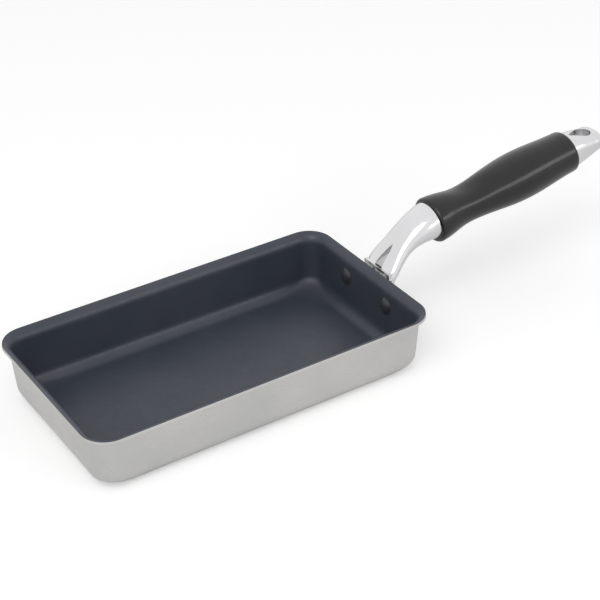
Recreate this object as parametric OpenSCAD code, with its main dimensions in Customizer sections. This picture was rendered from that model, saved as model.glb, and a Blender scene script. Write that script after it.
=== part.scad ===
// Rectangular rolled-omelette pan: a pressed pan with a flared rim and a non-stick lining,
// a cast neck that forks to a riveted plate, and a moulded grip clamped by a hanging cap.
// Origin: centre of the flat base. +X runs to the handle, +Z is up.

/* [Pan] */
// Length over the rim
rim_l = 183; // [160:1:220]
// Width over the rim
rim_w = 105; // [95:1:150]
// Height of the rim above the base
pan_h = 31.5; // [30:0.5:42]
// Thickness of the pressed sheet
sheet_t = 1.3; // [0.9:0.1:1.8]
// Thickness of the non-stick lining as modelled
lining_t = 0.3; // [0.2:0.1:0.5]
// Lean of each wall, measured at the base
wall_lean = 1; // [0.5:0.25:2.5]
// Plan radius of the wall's corners, outside
corner_r = 10; // [8:0.5:13]
// Plan radius of the flat floor's corners
floor_corner_r = 25; // [18:1:30]
// Radius of the bend from wall to base, outside
base_bend_r = 8; // [6:0.5:9]
// Radius of the rim's outward bend, outside
rim_bend_r = 4.2; // [3:0.2:5]
// Angle that the rim bends outward
rim_bend_angle = 78; // [65:1:86]

/* [Rivets] */
// Distance between the two rivets
rivet_spacing = 34; // [30:1:40]
// Depth of the rivets below the rim
rivet_drop = 11.5; // [10.5:0.5:13]
// Radius of a rivet's shank
rivet_r = 2.4; // [2:0.1:2.8]
// Radius of the domed head inside the pan
rivet_head_r = 4.4; // [4:0.1:5]
// Height of the domed head
rivet_head_h = 1.9; // [1.4:0.1:2.4]
// Radius of the formed tail outside
rivet_tail_r = 3.9; // [3.4:0.1:4.4]
// Height of the formed tail
rivet_tail_h = 1.7; // [1.2:0.1:2.2]

/* [Neck] */
// Thickness of the riveted plate
plate_t = 2.4; // [2:0.1:3]
// Width of the riveted plate
plate_w = 46; // [44:1:50]
// Height of the riveted plate
plate_h = 13; // [12:0.5:14]
// Reach from the rim to the grip's front
neck_reach = 33.5; // [30:0.5:40]
// Rise from the rim to the grip's front, on the handle's axis
neck_rise = 16.2; // [13:0.5:20]
// Half width over the two prongs at the foot
foot_half_w = 11.6; // [10.5:0.1:12.5]
// Half width of the neck at its slimmest
neck_waist_w = 9.3; // [8.6:0.1:10]
// Half width of the gap between the prongs at the foot
fork_half_gap = 4.4; // [3.5:0.1:5]
// Thickness of a prong where it passes the rim
prong_t = 6.6; // [6:0.1:7]
// Radius of the neck where it meets the grip
neck_r = 10.3; // [9.5:0.1:10.5]
// Radius of the tenon inside the grip
tenon_r = 6.2; // [5.6:0.1:6.4]
// Length of the tenon
tenon_l = 12; // [9:0.5:15]

/* [Grip] */
// Slope of the handle above level
handle_tilt = 8.5; // [4:0.5:14]
// Length of the grip
grip_l = 89.5; // [84:0.5:100]
// Radius of the grip at its front rim
front_r = 12.2; // [11.8:0.1:13]
// Radius at the waist behind the rim
waist_r = 9.95; // [9.5:0.05:10.8]
// Distance of the waist from the front
waist_s = 20; // [17:1:24]
// Radius at the fullest part
belly_r = 13; // [12:0.1:14.5]
// Distance of the fullest part from the front
belly_s = 58; // [52:1:64]
// Radius at the tail
tail_r = 11.4; // [11:0.1:12]
// Rounding of the front rim
front_round = 1.9; // [1.2:0.1:1.9]
// Rounding of the tail's edge
tail_round = 1.6; // [0.8:0.1:1.8]
// Width of the grip's section, as a share of its round radius
section_w = 1.05; // [1:0.01:1.1]
// Height of the grip's section, as a share of its round radius
section_h = 0.965; // [0.92:0.005:1]
// Depth of the thumb rest pressed into the top
thumb_depth = 1.7; // [0.5:0.1:2.2]
// Distance of the thumb rest's middle from the front
thumb_s = 25; // [22:1:30]
// Length of the thumb rest
thumb_l = 28; // [20:1:34]

/* [Hanging cap] */
// Length of the cap behind the grip
cap_l = 20.5; // [18:0.5:26]
// Half width of the cap at the grip
cap_half_w = 9.8; // [9:0.1:10]
// Half height of the cap at the grip
cap_half_h = 8.6; // [8.2:0.1:9.4]
// Half width of the cap near its end
cap_end_half_w = 8.2; // [7.6:0.1:9]
// Half height of the cap near its end
cap_end_half_h = 5.2; // [4.5:0.1:6]
// Radius of the round end of the hanging hole
hang_r = 4.3; // [3.6:0.1:4.6]
// Length of the hanging hole
hang_l = 13; // [11:0.5:14]
// Metal behind the hanging hole
hang_wall = 4.4; // [3:0.2:6]
// Radius of the cap's spigot inside the grip
spigot_r = 6.2; // [5.6:0.1:6.8]
// Length of the spigot
spigot_l = 8; // [6:0.5:10]

/* [Tie rod] */
// Radius of the rod that clamps the grip
rod_r = 2.5; // [2:0.1:3]
// Length of rod screwed into the neck
rod_in_neck = 15; // [12:0.5:18]
// Length of rod screwed into the cap
rod_in_cap = 6; // [5:0.5:6.5]
// Thickness of the lock washer
washer_t = 1.2; // [0.8:0.1:1.6]
// Radius of the lock washer
washer_r = 4.6; // [4.2:0.1:5]

/* [Hidden] */

$fn = 64;
hair = 0.05;            // radial clearance of screwed and riveted fits
slip = 0.2;             // radial clearance of the tenon and the spigot
rod_slip = 0.7;         // radial clearance of the rod inside the grip
cut = 1;                // overshoot of cutting solids

corner_steps = 12;
bend_steps = 6;
blend_steps = 8;
neck_steps = 24;
half_steps = 16;
grip_points = 48;
cap_points = 40;

// The rim's bend: its centre is level with the top of the wall
wall_inset = rim_bend_r * (1 - cos(rim_bend_angle));
bend_z = pan_h - (rim_bend_r + sheet_t + lining_t) * sin(rim_bend_angle);
wall_drop = bend_z - base_bend_r;
lean_angle = atan(wall_lean / wall_drop);

// The riveted joint, on the outer face of the end wall
rivet_z = pan_h - rivet_drop;
rivet_x = rim_l / 2 - wall_inset - wall_lean * (bend_z - rivet_z) / wall_drop;
skin_t = sheet_t + lining_t;
plate_z = pan_h - 5.6 - plate_h / 2;

// The handle's own axis starts at the grip's front
front_x = rim_l / 2 + neck_reach;
front_z = pan_h + neck_rise;

// The neck's centre line: a Bezier curve from the plate to the grip's front
neck_pull = 16;
neck_path = [
    [rim_l / 2 - 1.9, pan_h - 16.2],
    [rim_l / 2 + 4.2, pan_h + 3.4],
    [front_x - neck_pull * cos(handle_tilt), front_z - neck_pull * sin(handle_tilt)],
    [front_x, front_z]
];
fork_end = 0.53;        // place of the fork's crotch along the centre line
rim_pass = 0.24;        // place where the prongs pass the rim
waist_u = 0.62;         // place where the neck is slimmest
foot_t = 2;             // thickness of a prong where it leaves the plate

tail_socket = spigot_l + washer_t;

function mix(a, b, k) = a + (b - a) * k;
function ease(k) = (1 - cos(180 * min(1, max(0, k)))) / 2;
function power(v, e) = sign(v) * pow(abs(v), e);

// A ring of points round a rectangle with rounded corners, anticlockwise from above
function pan_ring(inset, z, r) = [
    for (q = [0:3], i = [0:corner_steps])
        let (
            a = 90 * (q + i / corner_steps),
            sx = (q == 0 || q == 3) ? 1 : -1,
            sy = q < 2 ? 1 : -1
        )
        [
            sx * (rim_l / 2 - inset - r) + r * cos(a),
            sy * (rim_w / 2 - inset - r) + r * sin(a),
            z
        ]
];

// Rings of the surface that lies depth inside the sheet's outer face, from floor to rim
function pan_surface(depth) = concat(
    [
        for (i = [0:blend_steps])
            let (
                b = 90 * (1 - i / blend_steps),
                r = base_bend_r - depth,
                inset = wall_inset + wall_lean + depth + r * (1 - cos(b)),
                plan_r = mix(corner_r - depth, floor_corner_r, 1 - cos(b))
            )
            pan_ring(inset, depth + r * (1 - sin(b)), plan_r)
    ],
    [
        for (i = [0:bend_steps])
            let (
                a = rim_bend_angle * i / bend_steps,
                inset = wall_inset - rim_bend_r + (rim_bend_r + depth) * cos(a)
            )
            pan_ring(inset, bend_z + (rim_bend_r + depth) * sin(a), corner_r + wall_inset - inset)
    ]
);

function reversed(list) = [for (i = [len(list) - 1:-1:0]) list[i]];

// A closed solid through rings of equal length, each anticlockwise seen from the next
module loft(rings) {
    n = len(rings[0]);
    m = len(rings);
    polyhedron(
        points = [for (ring = rings, p = ring) p],
        faces = concat(
            [[for (j = [0:n - 1]) j]],
            [
                for (i = [0:m - 2], j = [0:n - 1])
                    let (k = (j + 1) % n)
                    [i * n + j, (i + 1) * n + j, (i + 1) * n + k]
            ],
            [
                for (i = [0:m - 2], j = [0:n - 1])
                    let (k = (j + 1) % n)
                    [i * n + j, (i + 1) * n + k, i * n + k]
            ],
            [[for (j = [n - 1:-1:0]) (m - 1) * n + j]]
        )
    );
}

// Local frame of the riveted joint: +X points out of the end wall
module on_end_wall() {
    translate([rivet_x, 0, rivet_z]) rotate([0, lean_angle, 0]) children();
}

// Both rivet axes, each along local X
module at_rivets() {
    on_end_wall()
        for (side = [-1, 1])
            translate([0, side * rivet_spacing / 2, 0]) rotate([0, 90, 0]) children();
}

// Local frame of the handle: +X runs along its axis from the grip's front
module on_handle() {
    translate([front_x, 0, front_z]) rotate([0, -handle_tilt, 0]) children();
}

module along_handle() {
    on_handle() rotate([0, 90, 0]) children();
}

module rivet_holes() {
    at_rivets() translate([0, 0, -10]) cylinder(r = rivet_r + hair, h = 20);
}

module pan_body() {
    color("silver")
    difference() {
        loft(concat(pan_surface(0), reversed(pan_surface(sheet_t))));
        rivet_holes();
    }
}

module nonstick_lining() {
    color("darkslategray")
    difference() {
        loft(concat(pan_surface(sheet_t), reversed(pan_surface(skin_t))));
        rivet_holes();
    }
}

// A domed head inside, a shank through lining, wall and plate, and a tail formed outside
module rivets() {
    dome_r = (rivet_head_r * rivet_head_r + rivet_head_h * rivet_head_h) / (2 * rivet_head_h);
    color("dimgray")
    at_rivets() {
        translate([0, 0, -skin_t]) cylinder(r = rivet_r, h = skin_t + plate_t + rivet_tail_h / 2);
        translate([0, 0, -skin_t])
            intersection() {
                translate([0, 0, dome_r - rivet_head_h]) sphere(r = dome_r);
                translate([0, 0, -rivet_head_h]) cylinder(r = rivet_head_r, h = rivet_head_h);
            }
        translate([0, 0, plate_t])
            rotate_extrude()
                polygon([
                    [0, 0],
                    [rivet_tail_r, 0],
                    [rivet_tail_r, rivet_tail_h * 0.6],
                    [rivet_tail_r * 0.75, rivet_tail_h],
                    [0, rivet_tail_h]
                ]);
    }
}

function bezier(p, u) =
    pow(1 - u, 3) * p[0] + 3 * u * pow(1 - u, 2) * p[1]
    + 3 * u * u * (1 - u) * p[2] + pow(u, 3) * p[3];

function bezier_dir(p, u) =
    let (d = pow(1 - u, 2) * (p[1] - p[0]) + 2 * u * (1 - u) * (p[2] - p[1]) + u * u * (p[3] - p[2]))
    d / norm(d);

// Half widths and half thickness of the neck at u along its centre line
function neck_outer(u) =
    u < waist_u
        ? mix(foot_half_w, neck_waist_w, ease((u - rim_pass) / (waist_u - rim_pass)))
        : mix(neck_waist_w, neck_r * section_w, ease((u - waist_u) / (1 - waist_u)));
function neck_gap(u) = u >= fork_end ? -hair : fork_half_gap * pow(1 - u / fork_end, 0.55) - hair;
function neck_half_t(u) =
    u < rim_pass
        ? mix(foot_t, prong_t, ease(u / rim_pass)) / 2
        : mix(prong_t / 2, neck_r * section_h, pow((u - rim_pass) / (1 - rim_pass), 1.5));

// Section of one half of the neck: full above, chamfered below a crease, dished to the crotch
function neck_half_ring(u) =
    let (
        c = bezier(neck_path, u),
        d = bezier_dir(neck_path, u),
        w = neck_outer(u),
        g = neck_gap(u),
        t = neck_half_t(u),
        dish = 0.3 * t * ease((u - 0.3) / 0.2) * ease((0.88 - u) / 0.3)
    )
    [
        for (i = [0:half_steps])
            let (
                f = 90 - 180 * i / half_steps,
                e = f > 0 ? mix(0.8, 0.95, ease(u)) : mix(1, 1.2, ease((u - 0.3) / 0.4)),
                y = g + (w - g) * power(cos(f), e),
                upper = f > 0 ? 1 : 0,
                h = t * power(sin(f), e),
                hh = h - upper * dish * pow(1 - (y - g) / (w - g), 2)
            )
            [c[0] - d[1] * hh, -y, c[1] + d[0] * hh]
    ];

module neck_half() {
    loft([for (k = [0:neck_steps]) neck_half_ring(k / neck_steps)]);
}

module riveted_plate() {
    round_r = plate_h / 2 - 0.5;
    on_end_wall()
        translate([0, 0, plate_z - rivet_z])
            rotate([90, 0, 90])
                linear_extrude(height = plate_t)
                    union() {
                        square([plate_w - 2 * round_r, plate_h], center = true);
                        square([plate_w, plate_h - 2 * round_r], center = true);
                        for (sx = [-1, 1], sy = [-1, 1])
                            translate([sx * (plate_w / 2 - round_r), sy * (plate_h / 2 - round_r)])
                                circle(r = round_r);
                    }
}

// Cast in one piece: plate, two prongs, a bridge between them at the rim, neck and tenon
module handle_bracket() {
    bridge_x = rim_l / 2 + 1.6;
    color("gainsboro")
    difference() {
        union() {
            neck_half();
            mirror([0, 1, 0]) neck_half();
            riveted_plate();
            translate([bridge_x, -foot_half_w + 1, pan_h - 8]) cube([1.8, 2 * foot_half_w - 2, 8.6]);
            along_handle() translate([0, 0, -1]) cylinder(r = tenon_r, h = tenon_l + 1);
        }
        rivet_holes();
        along_handle()
            translate([0, 0, tenon_l - rod_in_neck]) cylinder(r = rod_r + hair, h = rod_in_neck + cut);
    }
}

// Round radius of the grip at s from its front
function grip_round_r(s) =
    s < waist_s
        ? mix(front_r, waist_r, ease((s - front_round) / (waist_s - front_round)))
        : s < belly_s
            ? mix(waist_r, belly_r, ease((s - waist_s) / (belly_s - waist_s)))
            : mix(belly_r, tail_r, ease((s - belly_s) / (grip_l - belly_s)));

function edge_loss(d, r) = d >= r ? 0 : r - sqrt(r * r - (r - d) * (r - d));

function grip_ring(s) =
    let (
        r = grip_round_r(s) - edge_loss(s, front_round) - edge_loss(grip_l - s, tail_round),
        rest = thumb_depth * (1 - ease(2 * abs(s - thumb_s) / thumb_l))
    )
    [
        for (i = [0:grip_points - 1])
            let (f = 360 * i / grip_points)
            [s, r * section_w * cos(f), r * section_h * sin(f) - rest * pow(max(0, sin(f)), 4)]
    ];

grip_stations = concat(
    [for (a = [0:22.5:90]) front_round * (1 - cos(a))],
    [for (k = [1:22]) mix(front_round, grip_l - tail_round, k / 23)],
    [for (a = [90:-22.5:0]) grip_l - tail_round * (1 - cos(a))]
);

module grip() {
    color("black")
    difference() {
        on_handle() loft([for (s = grip_stations) grip_ring(s)]);
        along_handle() {
            translate([0, 0, -cut]) cylinder(r = rod_r + rod_slip, h = grip_l + 2 * cut);
            translate([0, 0, -cut]) cylinder(r = tenon_r + slip, h = tenon_l + slip + cut);
            translate([0, 0, grip_l - tail_socket]) cylinder(r = spigot_r + slip, h = tail_socket + cut);
        }
    }
}

// A stud screwed into the neck at one end and into the hanging cap at the other
module tie_rod() {
    start = tenon_l - rod_in_neck;
    rod_l = grip_l - spigot_l + rod_in_cap - start;
    tip = rod_r * 0.3;
    color("darkgray")
    along_handle()
        translate([0, 0, start])
            rotate_extrude()
                polygon([
                    [0, 0],
                    [rod_r - tip, 0],
                    [rod_r, tip],
                    [rod_r, rod_l - tip],
                    [rod_r - tip, rod_l],
                    [0, rod_l]
                ]);
}

// A split ring between the grip's inner shoulder and the cap's spigot
module lock_washer() {
    color("darkgray")
    along_handle()
        translate([0, 0, grip_l - tail_socket])
            rotate_extrude(angle = 345)
                translate([rod_r + hair, 0]) square([washer_r - rod_r - hair, washer_t]);
}

function cap_ring(s) =
    let (
        k = s / cap_l,
        round_l = 4,
        shrink = sqrt(max(0.02, 1 - pow(max(0, s - cap_l + round_l) / round_l, 2))),
        w = mix(cap_half_w, cap_end_half_w, pow(k, 1.3)) - (1 - shrink) * 4,
        h = mix(cap_half_h, cap_end_half_h, ease(k * 1.1)) - (1 - shrink) * 2.6
    )
    [
        for (i = [0:cap_points - 1])
            let (f = 360 * i / cap_points)
            [grip_l + s, w * power(cos(f), 0.8), h * power(sin(f), 0.8)]
    ];

cap_stations = concat(
    [for (k = [0:10]) (cap_l - 4) * k / 10],
    [for (a = [15:15:90]) cap_l - 4 + 4 * sin(a)]
);

// The hanging hole's outline: a round end, a narrow end towards the grip, and tangents
module hang_outline() {
    tip_r = 1.2;
    reach = hang_l - hang_r - tip_r;
    slope = acos((hang_r - tip_r) / reach);
    union() {
        circle(r = hang_r);
        translate([-reach, 0]) circle(r = tip_r);
        polygon([
            hang_r * [-cos(slope), sin(slope)],
            hang_r * [-cos(slope), -sin(slope)],
            [-reach - tip_r * cos(slope), -tip_r * sin(slope)],
            [-reach - tip_r * cos(slope), tip_r * sin(slope)]
        ]);
    }
}

module tail_cap() {
    color("lightgray")
    difference() {
        union() {
            on_handle() loft([for (s = cap_stations) cap_ring(s)]);
            along_handle()
                translate([0, 0, grip_l - spigot_l]) cylinder(r = spigot_r, h = spigot_l + 1);
        }
        on_handle()
            translate([grip_l + cap_l - hang_wall - hang_r, 0, -cap_half_h - cut])
                linear_extrude(height = 2 * (cap_half_h + cut))
                    hang_outline();
        along_handle()
            translate([0, 0, grip_l - spigot_l - cut])
                cylinder(r = rod_r + hair, h = rod_in_cap + hair + cut);
    }
}

pan_body();
nonstick_lining();
rivets();
handle_bracket();
grip();
tie_rod();
lock_washer();
tail_cap();
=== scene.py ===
from math import cos, radians, sin

import bpy
from mathutils import Matrix, Vector


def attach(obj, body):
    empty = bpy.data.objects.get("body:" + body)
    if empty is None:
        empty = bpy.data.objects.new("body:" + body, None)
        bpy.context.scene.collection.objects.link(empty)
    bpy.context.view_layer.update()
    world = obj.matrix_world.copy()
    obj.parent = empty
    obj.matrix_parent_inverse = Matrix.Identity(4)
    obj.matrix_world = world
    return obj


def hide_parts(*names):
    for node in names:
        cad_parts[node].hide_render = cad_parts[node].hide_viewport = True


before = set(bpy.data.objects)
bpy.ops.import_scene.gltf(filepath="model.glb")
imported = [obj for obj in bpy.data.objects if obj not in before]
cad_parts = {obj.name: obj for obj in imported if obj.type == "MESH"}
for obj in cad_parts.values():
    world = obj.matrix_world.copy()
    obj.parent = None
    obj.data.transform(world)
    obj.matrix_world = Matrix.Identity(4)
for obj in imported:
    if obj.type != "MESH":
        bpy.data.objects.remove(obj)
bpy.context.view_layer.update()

# Camera, fitted to the photograph's rim: metres and degrees.
CAMERA_AT = Vector((-0.3110, -0.5670, 0.4581))
AZIMUTH, ELEVATION, ROLL = -32.30, 32.61, -1.29
LENS, SENSOR = 98.04, 36.0

# A lit colour renders about as written when sky and lamps together come to 1.
SKY_LEVEL = 0.6
FLOOR_COLOUR = (0.97, 0.97, 0.97)
FLOOR_LIFT = 0.24


def aim_camera():
    """Puts the camera at the photograph's viewing angle."""
    a, e, r = radians(AZIMUTH), radians(ELEVATION), radians(ROLL)
    back = Vector((sin(a) * cos(e), -cos(a) * cos(e), sin(e)))
    right = Vector((0, 0, 1)).cross(back).normalized()
    up = back.cross(right)
    side = right * cos(r) + up * sin(r)
    top = up * cos(r) - right * sin(r)
    data = bpy.data.cameras.new("camera")
    data.lens, data.sensor_width = LENS, SENSOR
    data.clip_start = 0.01
    camera = bpy.data.objects.new("camera", data)
    camera.matrix_world = Matrix((
        (side.x, top.x, back.x, CAMERA_AT.x),
        (side.y, top.y, back.y, CAMERA_AT.y),
        (side.z, top.z, back.z, CAMERA_AT.z),
        (0, 0, 0, 1),
    ))
    bpy.context.scene.collection.objects.link(camera)
    bpy.context.scene.camera = camera


def surface(name, dark, light, rough, metallic, stretch, bump, coat=0.0):
    """A procedural finish: tone and roughness vary with a stretched grain, with a fine bump."""
    mat = bpy.data.materials.new(name)
    mat.use_nodes = True
    tree = mat.node_tree
    shader = tree.nodes["Principled BSDF"]
    shader.inputs["Metallic"].default_value = metallic
    shader.inputs["Coat Weight"].default_value = coat

    place = tree.nodes.new("ShaderNodeTexCoord")
    grain_map = tree.nodes.new("ShaderNodeMapping")
    grain_map.inputs["Scale"].default_value = stretch
    tree.links.new(place.outputs["Object"], grain_map.inputs["Vector"])

    grain = tree.nodes.new("ShaderNodeTexNoise")
    grain.inputs["Scale"].default_value = 400
    grain.inputs["Detail"].default_value = 4
    tree.links.new(grain_map.outputs["Vector"], grain.inputs["Vector"])

    wear = tree.nodes.new("ShaderNodeTexNoise")
    wear.inputs["Scale"].default_value = 28
    wear.inputs["Detail"].default_value = 5
    tree.links.new(place.outputs["Object"], wear.inputs["Vector"])

    tone = tree.nodes.new("ShaderNodeValToRGB")
    tone.color_ramp.elements[0].position = 0.3
    tone.color_ramp.elements[0].color = (*dark, 1)
    tone.color_ramp.elements[1].position = 0.7
    tone.color_ramp.elements[1].color = (*light, 1)
    tree.links.new(wear.outputs["Fac"], tone.inputs["Fac"])
    tree.links.new(tone.outputs["Color"], shader.inputs["Base Color"])

    polish = tree.nodes.new("ShaderNodeMapRange")
    polish.inputs["From Min"].default_value = 0.3
    polish.inputs["From Max"].default_value = 0.7
    polish.inputs["To Min"].default_value, polish.inputs["To Max"].default_value = rough
    tree.links.new(grain.outputs["Fac"], polish.inputs["Value"])
    tree.links.new(polish.outputs["Result"], shader.inputs["Roughness"])

    relief = tree.nodes.new("ShaderNodeBump")
    relief.inputs["Strength"].default_value = bump
    relief.inputs["Distance"].default_value = 0.0002
    tree.links.new(grain.outputs["Fac"], relief.inputs["Height"])
    tree.links.new(relief.outputs["Normal"], shader.inputs["Normal"])
    return mat


def smooth_copy(node, sharp_angle):
    """A smooth-shaded copy that stands for a faceted CAD node, with its shape unchanged."""
    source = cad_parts[node].data
    index, points, at = {}, [], []
    for vertex in source.vertices:
        key = tuple(round(c, 7) for c in vertex.co)
        if key not in index:
            index[key] = len(points)
            points.append(key)
        at.append(index[key])
    faces = [[at[v] for v in face.vertices] for face in source.polygons]
    faces = [f for f in faces if len(set(f)) == len(f)]
    mesh = bpy.data.meshes.new(node + "_skin")
    mesh.from_pydata(points, [], faces)
    mesh.polygons.foreach_set("use_smooth", [True] * len(mesh.polygons))
    mesh.set_sharp_from_angle(angle=radians(sharp_angle))
    piece = bpy.data.objects.new(node + "_skin", mesh)
    bpy.context.scene.collection.objects.link(piece)
    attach(piece, "root")
    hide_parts(node)
    return piece


def paint(piece, mat):
    """Gives a piece, or a CAD node's own slots, one finish."""
    if not piece.material_slots:
        piece.data.materials.append(mat)
    for entry in piece.material_slots:
        entry.material = mat


def lamp(name, at, target, power, width, height):
    """A soft rectangular lamp that faces a point."""
    data = bpy.data.lights.new(name, "AREA")
    data.shape = "RECTANGLE"
    data.energy, data.size, data.size_y = power, width, height
    light = bpy.data.objects.new(name, data)
    light.location = at
    light.rotation_euler = (Vector(target) - Vector(at)).to_track_quat("-Z", "Y").to_euler()
    bpy.context.scene.collection.objects.link(light)


def studio():
    """Pale floor, white surroundings as seen by the camera and by metal, soft lamps."""
    bpy.ops.mesh.primitive_plane_add(size=12, location=(0, 0, 0))
    floor = bpy.context.object
    floor.name = "floor"
    mat = bpy.data.materials.new("floor")
    mat.use_nodes = True
    floor_tree = mat.node_tree
    diffuse = floor_tree.nodes["Principled BSDF"]
    diffuse.inputs["Base Color"].default_value = (*FLOOR_COLOUR, 1)
    diffuse.inputs["Roughness"].default_value = 0.9
    # The camera sees a brighter floor; the light that falls on the object is unchanged.
    diffuse.inputs["Emission Color"].default_value = (1, 1, 1, 1)
    seen_by = floor_tree.nodes.new("ShaderNodeLightPath")
    lift = floor_tree.nodes.new("ShaderNodeMath")
    lift.operation = "MULTIPLY"
    lift.inputs[1].default_value = FLOOR_LIFT
    floor_tree.links.new(seen_by.outputs["Is Camera Ray"], lift.inputs[0])
    floor_tree.links.new(lift.outputs[0], diffuse.inputs["Emission Strength"])
    floor.data.materials.append(mat)

    world = bpy.context.scene.world or bpy.data.worlds.new("world")
    bpy.context.scene.world = world
    world.use_nodes = True
    tree = world.node_tree
    sky = tree.nodes["Background"]
    path = tree.nodes.new("ShaderNodeLightPath")
    seen = tree.nodes.new("ShaderNodeMath")
    seen.operation = "MAXIMUM"
    tree.links.new(path.outputs["Is Camera Ray"], seen.inputs[0])
    tree.links.new(path.outputs["Is Glossy Ray"], seen.inputs[1])
    level = tree.nodes.new("ShaderNodeMapRange")
    level.inputs["To Min"].default_value = SKY_LEVEL
    level.inputs["To Max"].default_value = 1.0
    tree.links.new(seen.outputs[0], level.inputs["Value"])
    tree.links.new(level.outputs["Result"], sky.inputs["Strength"])
    sky.inputs["Color"].default_value = (1, 1, 1, 1)

    centre = (0.05, 0, 0.03)
    lamp("key", (-0.7, -0.5, 1.1), centre, 5.0, 0.9, 0.9)
    lamp("side", (0.6, -1.0, 0.6), centre, 2.0, 1.0, 0.3)


FINISHES = {
    "satin_steel": surface("satin_steel", (0.56, 0.56, 0.56), (0.64, 0.63, 0.62),
                           (0.26, 0.36), 1.0, (0.25, 0.25, 4.0), 0.06),
    "nonstick": surface("nonstick", (0.035, 0.043, 0.060), (0.050, 0.058, 0.075),
                        (0.34, 0.46), 0.0, (1, 1, 1), 0.12),
    "coated_rivet": surface("coated_rivet", (0.020, 0.022, 0.027), (0.035, 0.037, 0.042),
                            (0.30, 0.42), 0.0, (1, 1, 1), 0.08),
    "polished_metal": surface("polished_metal", (0.68, 0.68, 0.69), (0.76, 0.76, 0.77),
                              (0.08, 0.16), 1.0, (1, 1, 1), 0.02),
    "black_grip": surface("black_grip", (0.004, 0.004, 0.004), (0.008, 0.008, 0.008),
                          (0.14, 0.24), 0.0, (1, 1, 1), 0.03),
    "rod_steel": surface("rod_steel", (0.50, 0.50, 0.51), (0.58, 0.58, 0.59),
                         (0.25, 0.35), 1.0, (1, 1, 1), 0.05),
}

# Node: finish, and the angle above which an edge stays sharp (None keeps the CAD node).
PIECES = {
    "pan_body": ("satin_steel", 40),
    "nonstick_lining": ("nonstick", 40),
    "rivets": ("coated_rivet", 50),
    "handle_bracket": ("polished_metal", 32),
    "grip": ("black_grip", 45),
    "tail_cap": ("polished_metal", 32),
    "tie_rod": ("rod_steel", None),
    "lock_washer": ("rod_steel", None),
}

for node_name, (finish, sharp) in PIECES.items():
    if sharp is None:
        paint(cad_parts[node_name], FINISHES[finish])
    else:
        paint(smooth_copy(node_name, sharp), FINISHES[finish])
        paint(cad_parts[node_name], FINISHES[finish])

studio()
aim_camera()
bpy.context.scene.view_settings.view_transform = "Standard"
